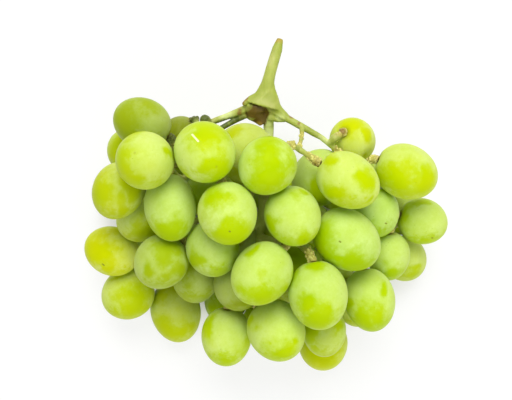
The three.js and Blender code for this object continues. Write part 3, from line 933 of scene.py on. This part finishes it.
# %% Stalk, receptacle and wart materials
def paint_bark(material, shades, beige, brown, speckle):
    material.use_nodes = True
    tree = material.node_tree
    tree.nodes.clear()
    place = add(tree, "ShaderNodeTexCoord").outputs["Object"]

    def noise(scale, detail, rough=0.5, stretch=(1, 1, 1)):
        drawn = add(tree, "ShaderNodeMapping", {"Vector": place, "Scale": stretch})
        return add(
            tree, "ShaderNodeTexNoise",
            {"Vector": drawn, "Scale": scale, "Detail": detail, "Roughness": rough},
        ).outputs[0]

    def kept(name):
        return add(tree, "ShaderNodeAttribute", attribute_name=name).outputs["Fac"]

    def frayed(name, start, end, most):
        """A kept number as an amount of colour, with a frayed edge."""
        value = maths(tree, "MULTIPLY_ADD", noise(400, 3, 0.6), 0.3, kept(name))
        return ramp(tree, value, (start, 0.0), (end, most)).outputs[0]

    # Green, drawn out in streaks along the stalk, and lighter towards the berries.
    streaks = noise(420, 3, 0.6, (1, 0.16, 1))
    broad = maths(tree, "MULTIPLY_ADD", noise(70, 2), 0.7, maths(tree, "MULTIPLY", streaks, 0.3))
    base = ramp(tree, broad, *zip((0.36, 0.5, 0.64), map(colour, shades))).outputs[0]
    near = frayed("pedicel", 0.35, 0.65, 1.0)
    base = blend(tree, near, base, colour(beige))
    spots = ramp(tree, noise(900, 4, 0.7), (0.54, 0.0), (0.66, speckle)).outputs[0]
    base = blend(tree, maths(tree, "MULTIPLY", spots, near), base, colour(brown))

    # Painted light and shade: a paler green is painted light, a middle and a dark green are painted
    # shade, and the dark brown of the hollow is partly dried tissue, partly painted shade.
    base = blend(tree, frayed("pale_and_painted_light", 0.2, 0.7, 0.8), base, colour(0xDEE89A))
    base = blend(tree, frayed("painted_half_shade", 0.2, 0.8, 0.7), base, colour(0x92A032))
    base = blend(tree, frayed("painted_shade", 0.3, 0.65, 0.9), base, colour(0x46560E))
    base = blend(tree, frayed("dry_and_painted_shade", 0.25, 0.45, 0.95), base, colour(0x624812))
    base = blend(tree, frayed("scar", 0.35, 0.75, 0.8), base, colour(0x865E28))
    base = blend(tree, frayed("cut", 0.3, 0.8, 0.85), base, colour(0xAC9038))
    base = blend(tree, frayed("rim", 0.4, 0.75, 0.9), base, colour(brown))
    grain = add(
        tree, "ShaderNodeBump",
        {"Height": noise(1400, 4, 0.6), "Strength": 0.35, "Distance": 0.15 * MM},
    )
    shader = add(
        tree, "ShaderNodeBsdfPrincipled",
        {
            "Base Color": base, "Roughness": 0.5, "IOR": 1.42, "Subsurface Weight": 0.12,
            "Subsurface Radius": (1.0, 0.8, 0.3), "Subsurface Scale": 1 * MM, "Normal": grain,
        },
    )
    add(tree, "ShaderNodeOutputMaterial", {"Surface": shader})


paint_bark(bark, (0x94A236, 0xAAB450, 0xBEBE72), 0xB8B254, 0x8A6A2C, speckle=0.7)
paint_bark(collar, (0xA8A24A, 0xC0B660, 0xD0C478), 0xC4B45C, 0x7A4A1C, speckle=0.9)
paint_bark(wart_cork, (0xC8CA62, 0xD6D674, 0xE2DE92), 0xD8D278, 0x9A7A30, speckle=0.7)
print("materials", bark.name, collar.name, wart_cork.name)

# %% [markdown]
# ## Table
#
# A plain pale table top catches a soft shadow. Seen by the camera it adds a little light
# of its own, so that it reads as a clean white sheet, while the shadow stays on it.

# %% Floor
def make_floor():
    half = 2.0
    mesh = bpy.data.meshes.new("floor")
    mesh.from_pydata(
        [(-half, -half, 0), (half, -half, 0), (half, half, 0), (-half, half, 0)],
        [], [(0, 1, 2, 3)],
    )
    floor = bpy.data.objects.new("floor", mesh)
    scene.collection.objects.link(floor)
    paper = bpy.data.materials.new("white_paper")
    paper.use_nodes = True
    tree = paper.node_tree
    tree.nodes.clear()
    sheet = add(tree, "ShaderNodeBsdfDiffuse", {"Color": colour(0xF2F2F0)})
    glow = add(tree, "ShaderNodeEmission", {"Color": (1, 1, 1, 1), "Strength": 1.0})
    path = add(tree, "ShaderNodeLightPath").outputs
    seen = maths(tree, "MAXIMUM", path["Is Camera Ray"], path["Is Glossy Ray"])
    seen = maths(tree, "MAXIMUM", seen, path["Is Transmission Ray"])
    # Right under the heap the sheet gives no light of its own, so that gaps stay dark.
    place = add(tree, "ShaderNodeTexCoord").outputs["Object"]
    heap = add(
        tree, "ShaderNodeMapping",
        {"Vector": place, "Location": (0, 20 * MM, 0), "Scale": (1, 1.6, 1)},
    )
    away = add(tree, "ShaderNodeVectorMath", {0: heap}, operation="LENGTH").outputs["Value"]
    open_share = ramp(tree, maths(tree, "DIVIDE", away, 0.1), (0.5, 0.0), (0.85, 0.75))
    share = maths(tree, "MULTIPLY", seen, open_share)
    mixed = add(tree, "ShaderNodeMixShader", {0: share, 1: sheet, 2: glow})
    add(tree, "ShaderNodeOutputMaterial", {"Surface": mixed})
    mesh.materials.append(paper)
    return floor


make_floor()
print("a bare sheet under the bunch")
